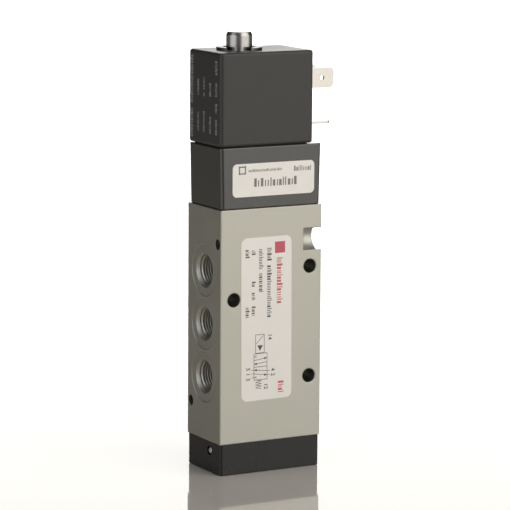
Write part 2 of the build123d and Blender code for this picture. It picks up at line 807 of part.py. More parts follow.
coil_length = coil_right - coil_left
coil_centre_x = (coil_left + coil_right) / 2
cavity_left = -15.2
cavity_right = 7.2
cavity_half_depth = 8.9
cavity_bottom = coil_bottom + 1.2
cavity_top = coil_top - 1.5
insert_z = 115.6
insert_radius = 2.2
insert_length = 6.0
yoke_sheet = 1.6
yoke_left = -14.6
yoke_right = 6.9
yoke_half_depth = 8.0
bobbin_inner_radius = 4.85
bobbin_outer_radius = 5.6
bobbin_flange_radius = 8.6
bobbin_flange = 1.0
bobbin_bottom = cavity_bottom + yoke_sheet + 0.1
bobbin_top = cavity_top - yoke_sheet - 0.1
winding_radius = 8.2
winding_gap = 0.05

with BuildPart() as coil_housing:
    with BuildSketch(Plane.XY.offset(coil_bottom)):
        with Locations((coil_centre_x, 0)):
            RectangleRounded(coil_length, 2 * coil_half_depth, coil_corner)
    extrude(amount=coil_height)
    fillet(coil_housing.faces().sort_by(Axis.Z)[-1].edges(), coil_edge)
    fillet(coil_housing.faces().sort_by(Axis.Z)[0].edges(), coil_edge)
    with BuildSketch(Plane.XY.offset(cavity_bottom)):
        with Locations(((cavity_left + cavity_right) / 2, 0)):
            Rectangle(cavity_right - cavity_left, 2 * cavity_half_depth)
    extrude(amount=cavity_top - cavity_bottom, mode=Mode.SUBTRACT)
    with Locations((core_x, 0, coil_top)):
        Hole(tube_radius + 0.1)
    # Slots for the three blades and the seat of the threaded insert, from the right face
    with BuildSketch(Plane(origin=(coil_right, 0, 0), x_dir=(0, 1, 0), z_dir=(1, 0, 0))):
        with Locations((-blade_spacing / 2, blade_z), (blade_spacing / 2, blade_z)):
            Rectangle(blade_thickness + 2 * slot_gap, blade_width + 2 * slot_gap)
        with Locations((0, earth_blade_z)):
            Rectangle(blade_width + 2 * slot_gap, blade_thickness + 2 * slot_gap)
    extrude(amount=-(coil_right - blade_root + slot_gap), mode=Mode.SUBTRACT)
    with Locations(Plane(origin=(coil_right, 0, insert_z), z_dir=(1, 0, 0))):
        Hole(insert_radius + slot_gap, insert_length + slot_gap)
coil_housing.part.label = "coil_housing"
export_step(coil_housing.part, "parts/coil_housing.step")

with BuildPart() as coil_bobbin:
    with BuildSketch(Plane.XY.offset(bobbin_bottom)):
        with Locations((core_x, 0)):
            Circle(bobbin_outer_radius)
            Circle(bobbin_inner_radius, mode=Mode.SUBTRACT)
    extrude(amount=bobbin_top - bobbin_bottom)
    for level in (bobbin_bottom, bobbin_top - bobbin_flange):
        with BuildSketch(Plane.XY.offset(level)):
            with Locations((core_x, 0)):
                Circle(bobbin_flange_radius)
                Circle(bobbin_inner_radius, mode=Mode.SUBTRACT)
        extrude(amount=bobbin_flange)
coil_bobbin.part.label = "coil_bobbin"
export_step(coil_bobbin.part, "parts/coil_bobbin.step")

winding_bottom = bobbin_bottom + bobbin_flange + winding_gap
winding_top = bobbin_top - bobbin_flange - winding_gap
with BuildPart() as coil_winding:
    with BuildSketch(Plane.XY.offset(winding_bottom)):
        with Locations((core_x, 0)):
            Circle(winding_radius)
            Circle(bobbin_outer_radius + winding_gap, mode=Mode.SUBTRACT)
    extrude(amount=winding_top - winding_bottom)
coil_winding.part.label = "coil_winding"
export_step(coil_winding.part, "parts/coil_winding.step")

with BuildPart() as coil_yoke:
    with BuildSketch(Plane.XZ):
        with BuildLine():
            Polyline(
                (yoke_left, cavity_bottom),
                (yoke_right, cavity_bottom),
                (yoke_right, cavity_top),
                (yoke_left, cavity_top),
                (yoke_left, cavity_top - yoke_sheet),
                (yoke_right - yoke_sheet, cavity_top - yoke_sheet),
                (yoke_right - yoke_sheet, cavity_bottom + yoke_sheet),
                (yoke_left, cavity_bottom + yoke_sheet),
                close=True,
            )
        make_face()
    extrude(amount=yoke_half_depth, both=True)
    with Locations((core_x, 0, cavity_top)):
        Hole(tube_radius + 0.15)
coil_yoke.part.label = "coil_yoke"
export_step(coil_yoke.part, "parts/coil_yoke.step")


def make_blade(plane, tip_x):
    """Flat tab terminal, drawn on a plane whose x runs along the blade."""
    length = tip_x - blade_root
    with BuildPart() as blade:
        with BuildSketch(plane) as outline:
            with Locations((length / 2, 0)):
                Rectangle(length, blade_width)
            chamfer(outline.vertices().group_by(Axis.X)[-1], blade_nose)
            with Locations((length - blade_hole_back, 0)):
                Circle(blade_hole_radius, mode=Mode.SUBTRACT)
        extrude(amount=blade_thickness / 2, both=True)
        wide_edges = blade.faces().sort_by(Axis.X)[-1].edges().filter_by(lambda edge: edge.length > 2)
        chamfer(wide_edges, blade_bevel)
    return blade


# Root of each blade, the way its flat faces, and its tip
blades = {
    "terminal_blade_1": ((blade_root, -blade_spacing / 2, blade_z), (0, -1, 0), blade_tip),
    "terminal_blade_2": ((blade_root, blade_spacing / 2, blade_z), (0, -1, 0), blade_tip),
    "earth_blade": ((blade_root, 0, earth_blade_z), (0, 0, 1), earth_blade_tip),
}
for node, (root, flat, tip_x) in blades.items():
    blade = make_blade(Plane(origin=root, x_dir=(1, 0, 0), z_dir=flat), tip_x)
    blade.part.label = node
    export_step(blade.part, f"parts/{node}.step")

with BuildPart() as plug_insert:
    with BuildSketch(Plane(origin=(coil_right - insert_length, 0, insert_z), z_dir=(1, 0, 0))):
        Circle(insert_radius)
        Circle(screw_radius, mode=Mode.SUBTRACT)
    extrude(amount=insert_length)
plug_insert.part.label = "plug_insert"
export_step(plug_insert.part, "parts/plug_insert.step")

seal_inset = 1.2
with BuildPart() as coil_base_seal:
    with BuildSketch(Plane.XY.offset(pilot_top)):
        with Locations((coil_centre_x, 0)):
            RectangleRounded(coil_length - 2 * seal_inset, 2 * coil_half_depth - 2 * seal_inset, seal_inset)
        with Locations((core_x, 0)):
            Circle(tube_radius + 0.15, mode=Mode.SUBTRACT)
    extrude(amount=coil_gap)
coil_base_seal.part.label = "coil_base_seal"
export_step(coil_base_seal.part, "parts/coil_base_seal.step")

# E-shaped retaining clip in the core's groove, with its mouth to the front left
clip_radius = 7.15
clip_thickness = 0.9
clip_lift = 0.03
clip_web_radius = 5.0
clip_grip_radius = clip_groove_radius + 0.03
clip_mouth = 7.6
clip_mouth_turn = 241
clip_prong_width = 2.6
clip_prong_turns = (125, 235)

with BuildPart() as coil_clip:
    with BuildSketch(Plane.XY.offset(coil_top + clip_lift)):
        with Locations(Location((core_x, 0, 0), (0, 0, 1), clip_mouth_turn)):
            Circle(clip_radius)
            with Locations((clip_radius / 2, 0)):
                Rectangle(clip_radius, clip_mouth, mode=Mode.SUBTRACT)
            Circle(clip_web_radius, mode=Mode.SUBTRACT)
            # Three prongs grip the groove
            for turn in (*clip_prong_turns, 180):
                with PolarLocations(clip_web_radius, 1, start_angle=turn):
                    Rectangle(clip_web_radius - 1, clip_prong_width)
            Circle(clip_grip_radius, mode=Mode.SUBTRACT)
    extrude(amount=clip_thickness)
coil_clip.part.label = "coil_clip"
export_step(coil_clip.part, "parts/coil_clip.step")


# ---------------------------------------------------------------- labels

label_film = 0.08


def make_label(centre_x, middle_z, length, height, corner, tilt, face_y):
    """Thin film on a front face, tilted as it was stuck on."""
    with BuildPart() as label:
        with BuildSketch(Plane(origin=(centre_x, face_y, middle_z), x_dir=(1, 0, 0), z_dir=(0, -1, 0))):
            RectangleRounded(length, height, corner, rotation=tilt)
        extrude(amount=label_film)
    return label


body_label = make_label(-1.67, 48.87, 17.85, 51.55, 2.0, 0.44, -depth / 2)
body_label.part.label = "body_label"
export_step(body_label.part, "parts/body_label.step")

pilot_label = make_label(0.68, 92.65, 28.9, 10.3, 1.5, 0, -pilot_half_depth)
pilot_label.part.label = "pilot_label"
export_step(pilot_label.part, "parts/pilot_label.step")
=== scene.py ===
import math
import random

import bpy
from mathutils import Matrix, Vector


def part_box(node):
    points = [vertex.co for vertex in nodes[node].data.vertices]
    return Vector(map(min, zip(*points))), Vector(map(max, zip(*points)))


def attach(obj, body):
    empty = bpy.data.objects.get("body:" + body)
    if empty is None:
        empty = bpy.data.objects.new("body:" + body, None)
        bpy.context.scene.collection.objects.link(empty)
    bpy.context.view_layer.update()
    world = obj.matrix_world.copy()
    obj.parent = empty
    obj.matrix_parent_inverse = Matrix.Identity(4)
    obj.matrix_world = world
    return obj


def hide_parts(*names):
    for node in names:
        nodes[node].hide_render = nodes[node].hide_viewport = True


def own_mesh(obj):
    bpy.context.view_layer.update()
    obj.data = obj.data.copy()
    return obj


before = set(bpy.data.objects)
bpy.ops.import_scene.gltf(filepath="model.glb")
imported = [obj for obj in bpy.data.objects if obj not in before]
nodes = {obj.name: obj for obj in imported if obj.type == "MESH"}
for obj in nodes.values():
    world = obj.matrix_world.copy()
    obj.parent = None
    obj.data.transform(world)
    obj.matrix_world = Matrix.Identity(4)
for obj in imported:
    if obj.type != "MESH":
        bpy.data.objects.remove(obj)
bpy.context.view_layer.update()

MM = 0.001


# ---------------------------------------------------------------- node helpers

def add(tree, kind, inputs=None, **settings):
    """A shader node with its settings, and its inputs either linked or set."""
    made = tree.nodes.new(kind)
    for key, value in settings.items():
        setattr(made, key, value)
    for key, value in (inputs or {}).items():
        if isinstance(value, bpy.types.NodeSocket):
            tree.links.new(value, made.inputs[key])
        else:
            made.inputs[key].default_value = value
    return made


def calc(tree, operation, *values):
    """Output of a Math node."""
    return add(tree, "ShaderNodeMath", dict(enumerate(values)), operation=operation).outputs[0]


def shade(colour, factor):
    """A colour times a factor, with full alpha."""
    return tuple(min(1.0, channel * factor) for channel in colour) + (1.0,)


def noise(tree, vector, scale, detail=3.0, roughness=0.5):
    inputs = {"Vector": vector, "Scale": scale, "Detail": detail, "Roughness": roughness}
    return add(tree, "ShaderNodeTexNoise", inputs).outputs["Fac"]


def spread(tree, value, low, high, start=0.3, end=0.7):
    """Stretches a noise value over a range."""
    inputs = {"Value": value, "From Min": start, "From Max": end, "To Min": low, "To Max": high}
    return add(tree, "ShaderNodeMapRange", inputs).outputs[0]


PATCH_SCALE = 80.0
PATCH_SHARE = 0.65


def finish(name, colour, roughness, grain, depth, metallic=0.0, tint=0.05, swing=0.05,
           stretch=(1, 1, 1), relief=None, painted_shade=None, edge=0.0, fixed=None):
    """A procedural material in object space, in metres.

    grain is the fine texture's scale per metre and depth its height in metres; stretch draws it out.
    tint and swing vary colour and roughness over broad patches. relief adds another height.
    painted_shade is a mask and the factor by which the colour is darker there, a painted shade. edge is the
    radius of soft edges.
    fixed sets other sockets of the shader.
    """
    made = bpy.data.materials.new(name)
    made.use_nodes = True
    tree = made.node_tree
    shader = tree.nodes["Principled BSDF"]
    place = add(tree, "ShaderNodeTexCoord").outputs["Object"]
    drawn = add(tree, "ShaderNodeMapping", {"Vector": place, "Scale": stretch}).outputs[0]
    fine = noise(tree, drawn, grain, 4.0, 0.6)
    patches = noise(tree, place, PATCH_SCALE, 4.0, 0.55)
    mixed = calc(tree, "MULTIPLY_ADD", fine, 1 - PATCH_SHARE, calc(tree, "MULTIPLY", patches, PATCH_SHARE))
    colours = add(tree, "ShaderNodeMix", {
        "Factor": spread(tree, mixed, 0.0, 1.0),
        "A": shade(colour, 1 - tint),
        "B": shade(colour, 1 + tint),
    }, data_type="RGBA")
    colour_out = colours.outputs["Result"]
    # Painted shade: inside the mask the colour is darkened by the factor.
    if painted_shade:
        where, factor = painted_shade
        colour_out = add(tree, "ShaderNodeMix", {
            "Factor": where(tree, place),
            "A": colour_out,
            "B": shade(colour, factor),
        }, data_type="RGBA").outputs["Result"]
    tree.links.new(colour_out, shader.inputs["Base Color"])
    tree.links.new(spread(tree, mixed, roughness - swing, roughness + swing), shader.inputs["Roughness"])
    height = fine
    if relief:
        height = calc(tree, "ADD", fine, relief(tree, place))
    bump = add(tree, "ShaderNodeBump", {"Height": height, "Distance": depth, "Strength": 1.0})
    if edge:
        soft = add(tree, "ShaderNodeBevel", {"Radius": edge}, samples=6)
        tree.links.new(soft.outputs[0], bump.inputs["Normal"])
    tree.links.new(bump.outputs[0], shader.inputs["Normal"])
    shader.inputs["Metallic"].default_value = metallic
    for key, value in (fixed or {}).items():
        shader.inputs[key].default_value = value
    return made


# ---------------------------------------------------------------- sizes taken from the frame

body_low, body_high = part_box("valve_body")
body_middle = (body_low.z + body_high.z) / 2
half_width = body_high.x
port_pitch = 8.42 * MM
spotface_depth = 0.15 * MM
port_radius = 4.864 * MM
port_chamfer = 0.65 * MM
port_depth = 8.0 * MM
thread_pitch = 25.4 / 28 * MM
thread_minor = 8.566 / 2 * MM
ring_spacing = 0.32 * MM
ring_strength = 2.2
spotface_tolerance = 0.01 * MM
soft_edge = 0.35 * MM
half_depth = body_high.y
mount_hole_radius = 2.15 * MM
hole_margin = 0.08 * MM
hole_rim = 0.12 * MM
MOUNT_HOLES = (
    (13.75 * MM, body_middle - 17.5 * MM),
    (13.75 * MM, body_middle + 17.5 * MM),
    (-13.2 * MM, body_middle + 8.6 * MM),
)
left_ports = {3: -2, 1: 0, 5: 2}
right_ports = {2: -1, 4: 1}


def spotface_rings(tree, place):
    """Turning marks round each port, on the floors of the spotfaces."""
    x, y, z = add(tree, "ShaderNodeSeparateXYZ", {"Vector": place}).outputs
    on_right = calc(tree, "GREATER_THAN", x, 0.0)
    across = calc(tree, "SUBTRACT", z, body_middle)
    shifted = calc(tree, "MULTIPLY_ADD", on_right, -port_pitch, across)
    local = calc(tree, "WRAP", shifted, port_pitch, -port_pitch)
    squares = [calc(tree, "POWER", value, 2.0) for value in (y, local)]
    radius = calc(tree, "SQRT", calc(tree, "ADD", *squares))
    rings = calc(tree, "SINE", calc(tree, "MULTIPLY", radius, 2 * math.pi / ring_spacing))
    floor_x = half_width - spotface_depth
    on_floor = calc(tree, "COMPARE", calc(tree, "ABSOLUTE", x), floor_x, spotface_tolerance)
    return calc(tree, "MULTIPLY", calc(tree, "MULTIPLY", rings, ring_strength), on_floor)


def round_hole(tree, first, second, centre, radius):
    """1 inside a bore's radius about a centre, in the plane of two coordinates."""
    offsets = [calc(tree, "POWER", calc(tree, "SUBTRACT", value, middle), 2.0)
               for value, middle in zip((first, second), centre)]
    return calc(tree, "LESS_THAN", calc(tree, "ADD", *offsets), radius * radius)


def mount_hole_shade_mask(tree, place):
    """Painted shade: 1 on the walls of the body's mounting holes, inside their rims, where the colour is
    darkened in place of the shade inside the holes.
    """
    x, y, z = add(tree, "ShaderNodeSeparateXYZ", {"Vector": place}).outputs
    inside_y = calc(tree, "LESS_THAN", calc(tree, "ABSOLUTE", y), half_depth - hole_rim)
    found = 0.0
    for centre in MOUNT_HOLES:
        hole = round_hole(tree, x, z, centre, mount_hole_radius + hole_margin)
        found = calc(tree, "MAXIMUM", found, calc(tree, "MULTIPLY", hole, inside_y))
    return found


def wire_turns(pitch):
    """Ridges of a winding, one for each turn of wire along Z."""
    def relief(tree, place):
        z = add(tree, "ShaderNodeSeparateXYZ", {"Vector": place}).outputs[2]
        return calc(tree, "SINE", calc(tree, "MULTIPLY", z, 2 * math.pi / pitch))
    return relief


# ---------------------------------------------------------------- materials

# The walls of the body's mounting holes carry a painted shade: their colour is darkened to 0.7.
anodised = finish("anodised_aluminium", (0.518, 0.508, 0.452), 0.42, 5200, 0.006 * MM, metallic=1.0,
                  tint=0.035, swing=0.05, relief=spotface_rings, painted_shade=(mount_hole_shade_mask, 0.7),
                  edge=soft_edge)
turned_thread = finish("cut_thread", (0.50, 0.48, 0.43), 0.33, 5200, 0.004 * MM, metallic=1.0, tint=0.06)
black_cap = finish("black_cap_moulding", (0.011, 0.0105, 0.0105), 0.30, 4200, 0.012 * MM,
                   tint=0.12, swing=0.07)
black_pilot = finish("black_pilot_moulding", (0.018, 0.016, 0.012), 0.22, 4200, 0.008 * MM,
                     tint=0.10, swing=0.04, fixed={"IOR": 1.95})
black_coil = finish("black_coil_moulding", (0.036, 0.033, 0.031), 0.42, 3600, 0.012 * MM,
                    tint=0.14, swing=0.05, fixed={"Specular IOR Level": 0.6})
label_film = finish("label_film", (0.862, 0.832, 0.792), 0.36, 2600, 0.002 * MM, metallic=0.5, tint=0.02)
stainless = finish("turned_stainless", (0.54, 0.52, 0.50), 0.23, 900, 0.004 * MM, metallic=1.0,
                   tint=0.05, stretch=(0.2, 0.2, 9.0))
black_clip = finish("phosphated_clip", (0.16, 0.155, 0.15), 0.36, 4000, 0.005 * MM, metallic=1.0, tint=0.12)
tinned = finish("tinned_brass", (0.77, 0.73, 0.68), 0.36, 700, 0.003 * MM, metallic=1.0,
                tint=0.04, stretch=(0.4, 4.0, 4.0))
brass = finish("turned_brass", (0.74, 0.55, 0.27), 0.27, 900, 0.004 * MM, metallic=1.0, tint=0.07,
               stretch=(8.0, 0.4, 0.4))
vent_disc = finish("sintered_disc", (0.80, 0.79, 0.76), 0.42, 9000, 0.05 * MM, metallic=1.0, tint=0.10)
zinc = finish("zinc_plate", (0.60, 0.62, 0.64), 0.34, 1500, 0.004 * MM, metallic=1.0, tint=0.10)
spring_steel = finish("drawn_spring_wire", (0.42, 0.42, 0.43), 0.30, 2500, 0.003 * MM, metallic=1.0,
                      tint=0.10)
rubber = finish("nitrile_rubber", (0.022, 0.022, 0.023), 0.62, 3500, 0.010 * MM, tint=0.15, swing=0.08)
acetal = finish("cage_acetal", (0.76, 0.73, 0.64), 0.42, 2500, 0.006 * MM, tint=0.04,
                fixed={"Subsurface Weight": 0.05, "Subsurface Radius": (0.001, 0.0008, 0.0005)})
spool_metal = finish("ground_spool", (0.72, 0.72, 0.71), 0.22, 1200, 0.003 * MM, metallic=1.0,
                     tint=0.04, stretch=(0.3, 0.3, 8.0))
copper = finish("enamelled_copper", (0.70, 0.30, 0.12), 0.28, 1800, 0.05 * MM, metallic=1.0, tint=0.10,
                relief=wire_turns(0.24 * MM))
grey_ink = finish("dark_grey_ink", (0.10, 0.095, 0.090), 0.50, 6000, 0.002 * MM, tint=0.15)
faded_ink = finish("faded_grey_ink", (0.26, 0.245, 0.235), 0.50, 6000, 0.002 * MM, tint=0.10)
pale_ink = finish("pale_print", (0.38, 0.365, 0.355), 0.50, 6000, 0.002 * MM, tint=0.25)
red_ink = finish("red_ink", (0.68, 0.13, 0.17), 0.45, 6000, 0.002 * MM, tint=0.10)

NODE_FINISH = {
    anodised: ["valve_body"],
    black_cap: ["end_cap"],
    black_pilot: ["pilot_block"],
    black_coil: ["coil_housing"],
    label_film: ["body_label", "pilot_label"],
    stainless: ["core_tube", "fixed_core", "armature"],
    black_clip: ["coil_clip"],
    tinned: ["terminal_blade_1", "terminal_blade_2", "earth_blade"],
    brass: ["plug_insert", "pilot_nozzle", "override_cam"],
    vent_disc: ["vent_plug"],
    zinc: ["end_cap_screws", "pilot_screws", "clamp_plate", "override_pin", "coil_yoke"],
    spring_steel: ["return_spring", "armature_spring"],
    rubber: ["end_cap_gasket", "pilot_gaskets", "piston_seal", "override_o_ring", "tube_o_ring",
             "coil_base_seal", "armature_lower_seal", "armature_upper_seal"]
            + [f"spool_seal_{n}" for n in range(1, 7)],
    acetal: ["lower_end_bush", "piston_sleeve", "spring_seat", "coil_bobbin"]
            + [f"port_{n}_cage" for n in range(1, 6)],
    spool_metal: ["spool", "pilot_piston"],
    copper: ["coil_winding"],
}

for material, names in NODE_FINISH.items():
    for name in names:
        mesh = nodes[name].data
        mesh.materials.clear()
        mesh.materials.append(material)


# ---------------------------------------------------------------- mesh pieces

def new_piece(name, points, faces, material, smooth=False, body="valve"):
    """A closed mesh piece in the row frame, riding on a body."""
    mesh = bpy.data.meshes.new(name)
    mesh.from_pydata([tuple(p) for p in points], [], faces)
    mesh.validate()
    mesh.materials.append(material)
    if smooth:
        mesh.polygons.foreach_set("use_smooth", [True] * len(mesh.polygons))
    piece = bpy.data.objects.new(name, mesh)
    bpy.context.scene.collection.objects.link(piece)
    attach(piece, body)
    return piece


def thread_piece(number, row, side):
    """The cut thread of one port: a sleeve whose bore is a single-start helical V."""
    around = 72
    per_pitch = 8
    run_in = 0.8 * thread_pitch
    flank_slope = 1.3
    crest_flat = 0.15
    outer = port_radius + 0.05 * MM
    end_gap = 0.03 * MM
    length = port_depth - port_chamfer - end_gap
    rings = int(length / thread_pitch * per_pitch)
    mouth = half_width - spotface_depth - port_chamfer
    centre_z = body_middle + row * port_pitch
    angles = [2 * math.pi * step / around for step in range(around)]

    def place(along, radius, angle):
        """Point of the sleeve at a depth below the mouth."""
        return side * (mouth - along), radius * math.sin(angle), centre_z + radius * math.cos(angle)

    points = []
    for ring in range(rings + 1):
        along = length * ring / rings
        full_depth = min(1.0, along / run_in)
        crest = thread_minor + (port_radius - thread_minor) * (1 - full_depth)
        for step, angle in enumerate(angles):
            phase = (along / thread_pitch + side * step / around) % 1.0
            groove = 1 - abs(2 * phase - 1)
            flank = min(max(groove * flank_slope - crest_flat, 0.0), 1.0)
            points.append(place(along, crest + (port_radius - crest) * flank, angle))
    points += [place(along, outer, angle) for along in (0.0, length) for angle in angles]
    inner_last = rings * around
    outer_first = (rings + 1) * around
    outer_last = outer_first + around
    strips = [(ring * around, (ring + 1) * around) for ring in range(rings)]
    strips += [(inner_last, outer_last), (outer_last, outer_first), (outer_first, 0)]
    faces = []
    for low, high in strips:
        for step in range(around):
            after = (step + 1) % around
            quad = (low + step, low + after, high + after, high + step)
            faces.append(quad if side > 0 else quad[::-1])
    return new_piece(f"port_{number}_thread", points, faces, turned_thread, smooth=True)


for number, row in left_ports.items():
    thread_piece(number, row, -1)
for number, row in right_ports.items():
    thread_piece(number, row, 1)


def spring_piece(name, mean_radius, wire, coils):
    """Compression spring with closed ends, in place of its plain CAD helix."""
    low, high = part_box(name)
    centre_x = (low.x + high.x) / 2
    steps_per_coil = 36
    around = 12
    steps = int(coils * steps_per_coil)
    closed = 0.8 * steps_per_coil
    opening = 0.5 * steps_per_coil
    closed_rise = 0.12
    lift = []
    level = 0.0
    for step in range(steps + 1):
        ramp = min(1.0, max(0.0, min(step, steps - step) - closed) / opening)
        lift.append(level)
        level += closed_rise + ramp
    rise = high.z - low.z - wire
    points = []
    for step in range(steps + 1):
        angle = 2 * math.pi * step / steps_per_coil
        z = low.z + wire / 2 + rise * lift[step] / lift[-1]
        for turn in range(around):
            a = 2 * math.pi * turn / around
            radius = mean_radius + wire / 2 * math.cos(a)
            x, y = centre_x + radius * math.cos(angle), radius * math.sin(angle)
            points.append((x, y, z + wire / 2 * math.sin(a)))
    faces = [tuple(range(around)), tuple(steps * around + turn for turn in reversed(range(around)))]
    for step in range(steps):
        for turn in range(around):
            after = (turn + 1) % around
            start = step * around
            faces.append((start + turn, start + around + turn, start + around + after, start + after))
    piece = new_piece(name + "_wire", points, faces, spring_steel, smooth=True)
    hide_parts(name)
    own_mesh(piece)
    return piece


spring_piece("return_spring", 3.4 * MM, 0.8 * MM, 7.5)
spring_piece("armature_spring", 4.56 * MM, 0.36 * MM, 4.5)


# ---------------------------------------------------------------- printing

INK = 0.015 * MM
HATCH_WIDTHS = (0.15, 0.15, 0.34)
HATCH_HEIGHTS = (1.0, 0.74, 0.74)
HATCH_GAPS = (0.13, 0.24)


def bar(u, v, width, height):
    """Rectangle about a point, as an outline in the sheet's own u, v."""
    return [(u - width / 2, v - height / 2), (u + width / 2, v - height / 2),
            (u + width / 2, v + height / 2), (u - width / 2, v + height / 2)]


def stroke(start, end, width):
    """Straight line of some width."""
    a, b = Vector(start), Vector(end)
    along = (b - a).normalized() * width / 2
    side = Vector((-along.y, along.x))
    return [tuple(p) for p in (a - along - side, b + along - side, b + along + side, a - along + side)]


def frame_lines(u0, v0, u1, v1, width):
    """The four sides of a box."""
    corners = [(u0, v0), (u1, v0), (u1, v1), (u0, v1)]
    return [stroke(corners[n], corners[(n + 1) % 4], width) for n in range(4)]


def arrow(start, end, width, head):
    """Line with a solid head at its end."""
    a, b = Vector(start), Vector(end)
    along = (b - a).normalized()
    side = Vector((-along.y, along.x))
    neck = b - along * head
    tip = [tuple(neck - side * head * 0.42), tuple(b), tuple(neck + side * head * 0.42)]
    return [stroke(start, tuple(neck), width), tip]


def text_hatch(rng, start, end, height, v):
    """Short upright strokes from start to end, of sizes in shares of their height, in place of a word."""
    outlines = []
    u = start
    while u < end - 0.1 * height:
        wide = height * rng.choice(HATCH_WIDTHS)
        tall = height * rng.choice(HATCH_HEIGHTS)
        outlines.append(bar(u + wide / 2, v - (height - tall) / 2, wide, tall))
        u += wide + height * rng.uniform(*HATCH_GAPS)
    return outlines


def print_piece(name, outlines, origin, across, up, material):
    """Thin ink on a flat face: outlines in millimetres along across and up from origin."""
    across, up = Vector(across).normalized(), Vector(up).normalized()
    out = across.cross(up)
    points, faces = [], []
    for outline in outlines:
        first = len(points)
        count = len(outline)
        for lift in (-INK / 2, INK):
            for u, v in outline:
                points.append(Vector(origin) + across * u * MM + up * v * MM + out * lift)
        area = sum(a[0] * b[1] - b[0] * a[1] for a, b in zip(outline, outline[1:] + outline[:1]))
        order = list(range(count)) if area > 0 else list(reversed(range(count)))
        faces.append(tuple(first + n for n in reversed(order)))
        faces.append(tuple(first + count + n for n in order))
        for a, b in zip(order, order[1:] + order[:1]):
            faces.append((first + a, first + b, first + count + b, first + count + a))
    return new_piece(name, points, faces, material)


def face_centre(node):
    """Middle of a node's front side."""
    low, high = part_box(node)
    return Vector(((low.x + high.x) / 2, low.y, (low.z + high.z) / 2))


# The body label is read from top to bottom: u runs down it and v to the right.
TILT = math.radians(0.44)
label_origin = face_centre("body_label")
label_down = (math.sin(TILT), 0, -math.cos(TILT))
label_right = (math.cos(TILT), 0, math.sin(TILT))

rng = random.Random(7)
lines = []
for v, height, words in (
    (1.05, 1.6, ((-22.2, -18.0), (-16.7, -0.6))),
    (-1.9, 1.5, ((-22.0, -15.4), (-14.4, -8.2))),
    (-4.55, 1.35, ((-21.8, -20.6), (-12.0, -10.6), (-8.5, -6.2), (-4.2, -1.0))),
    (-6.7, 1.4, ((-22.1, -19.6), (-4.0, -0.8))),
):
    for start, end in words:
        lines += text_hatch(rng, start, end, height, v)
print_piece("body_label_lines", lines, label_origin, label_down, label_right, grey_ink)

red = [bar(-22.2, 4.8, 3.6, 3.6)] + text_hatch(rng, -18.9, -4.7, 2.0, 4.7)
red += text_hatch(rng, 20.3, 24.2, 2.0, 5.1)
print_piece("body_label_red", red, label_origin, label_down, label_right, red_ink)

# Flow symbol: solenoid with pilot, two positions, spring; ports 4 and 2 above, 5, 1 and 3 below
THIN = 0.16
symbol_low, symbol_high = -4.45, 0.2
symbol_start, symbol_split, symbol_end = 10.9, 15.1, 19.2
symbol = frame_lines(4.9, symbol_low + 0.6, 10.7, symbol_high - 1.0, THIN)
symbol += frame_lines(symbol_start, symbol_low, symbol_split, symbol_high, THIN)
symbol += frame_lines(symbol_split, symbol_low, symbol_end, symbol_high, THIN)
symbol.append(stroke((5.3, symbol_high - 1.3), (7.6, symbol_low + 0.9), THIN))
pilot_tip = (10.1, (symbol_low + symbol_high) / 2 - 0.2)
symbol.append([(8.3, symbol_low + 1.2), (8.3, symbol_high - 1.5), pilot_tip])
lower_ports = (0.9, 2.1, 3.3)
upper_ports = (1.5, 2.8)
port_line = 0.8
for left, crossed in ((symbol_start, True), (symbol_split, False)):
    five, one, three = (left + step for step in lower_ports)
    four, two = (left + step for step in upper_ports)
    supply, vent, shut = (four, (two, three), five) if crossed else (two, (four, five), three)
    symbol += arrow((one, symbol_low), (supply, symbol_high), THIN, 1.0)
    symbol += arrow((vent[0], symbol_high), (vent[1], symbol_low), THIN, 1.0)
    symbol.append(stroke((shut, symbol_low), (shut, symbol_low + 0.7), THIN))
    symbol.append(stroke((shut - 0.35, symbol_low + 0.7), (shut + 0.35, symbol_low + 0.7), THIN))
for steps, edge_v, reach in ((lower_ports, symbol_low, -port_line), (upper_ports, symbol_high, port_line)):
    for step in steps:
        symbol.append(stroke((symbol_split + step, edge_v), (symbol_split + step, edge_v + reach), THIN))
zigzag = [(symbol_end + 0.42 * n, (symbol_low + 0.6, symbol_low + 2.6)[n % 2]) for n in range(8)]
symbol += [stroke(a, b, THIN) for a, b in zip(zigzag, zigzag[1:])]
print_piece("flow_symbol", symbol, label_origin, label_down, label_right, grey_ink)


NUMBER_SIZE = 1.9 * MM
NUMBER_WEIGHT = 0.03 * MM


def number_piece(text, u, v):
    """A port number, printed along the label's reading direction."""
    curve = bpy.data.curves.new("port_mark_" + text, "FONT")
    curve.body = text
    curve.size = NUMBER_SIZE
    curve.extrude = INK / 2
    curve.offset = NUMBER_WEIGHT
    curve.align_x = "CENTER"
    curve.align_y = "CENTER"
    curve.resolution_u = 3
    curve.materials.append(grey_ink)
    piece = bpy.data.objects.new("port_mark_" + text, curve)
    bpy.context.scene.collection.objects.link(piece)
    across, up = Vector(label_down), Vector(label_right)
    out = across.cross(up)
    turn = Matrix((across, up, out)).transposed().to_4x4()
    spot = label_origin + across * u * MM + up * v * MM + out * INK / 2
    piece.matrix_world = Matrix.Translation(spot) @ turn
    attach(piece, "valve")
    return piece


for text, u, v in (("14", 5.9, 1.2), ("4", 16.4, 2.2), ("2", 18.0, 2.2), ("12", 21.5, -0.3),
                   ("5", 15.6, -6.6), ("1", 17.2, -6.6), ("3", 18.8, -6.6)):
    number_piece(text, u, v)

# Pilot block's label, read along X
pilot_origin = face_centre("pilot_label")
pilot_lines = text_hatch(rng, -8.9, 3.1, 0.9, 2.95)
pilot_lines += text_hatch(rng, 7.2, 13.3, 1.6, 2.85)
pilot_lines += frame_lines(-12.1, 2.1, -10.0, 4.2, 0.4)
pilot_lines += text_hatch(rng, -6.9, 8.1, 2.6, -0.85)
print_piece("pilot_label_lines", pilot_lines, pilot_origin, (1, 0, 0), (0, 0, 1), faded_ink)

